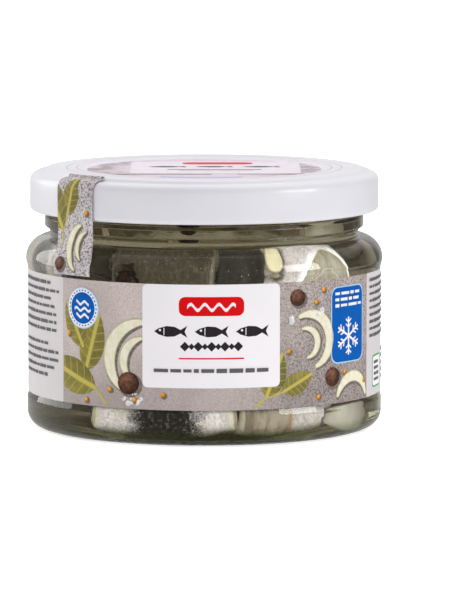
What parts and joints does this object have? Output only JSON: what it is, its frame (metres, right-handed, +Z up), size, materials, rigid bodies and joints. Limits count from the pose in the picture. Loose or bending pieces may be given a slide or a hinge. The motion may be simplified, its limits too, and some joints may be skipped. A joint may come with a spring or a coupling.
{
  "type": "jar of herring rolls",
  "caption": "Squat clear glass jar of rolled herring fillets in marinade, shut by a white twist-off lid, with a wrap-round paper label and a paper seal strip.",
  "frame": {"origin": "centre of the jar's footprint, on the surface it stands on", "axes": "+Z up along the jar's axis, front of the label towards -Y, +X to the right seen from the front"},
  "size_m": [0.0874, 0.0874, 0.0637],
  "materials": {
    "glass": "clear polished glass with a faint green edge",
    "marinade": "clear olive-grey liquid",
    "lid_paint": "glossy white lacquer on tinplate with a plain printed disc",
    "label_print": "satin coated paper with a stone-coloured print",
    "strip_print": "satin coated paper with a stone-coloured print",
    "herring": "wet silver skin with dark backs and pale flesh ends",
    "onion": "translucent pickled onion",
    "allspice": "dark wrinkled berry"
  },
  "bodies": {
    "root": {"glass_jar": "glass", "twist_lid": "lid_paint", "label": "label_print", "seal_strip": "strip_print", "herring_rolls": "herring", "onion_piece_1": "onion", "onion_piece_2": "onion", "onion_piece_3": "onion", "allspice_1": "allspice", "allspice_2": "allspice"}
  },
  "joints": []
}
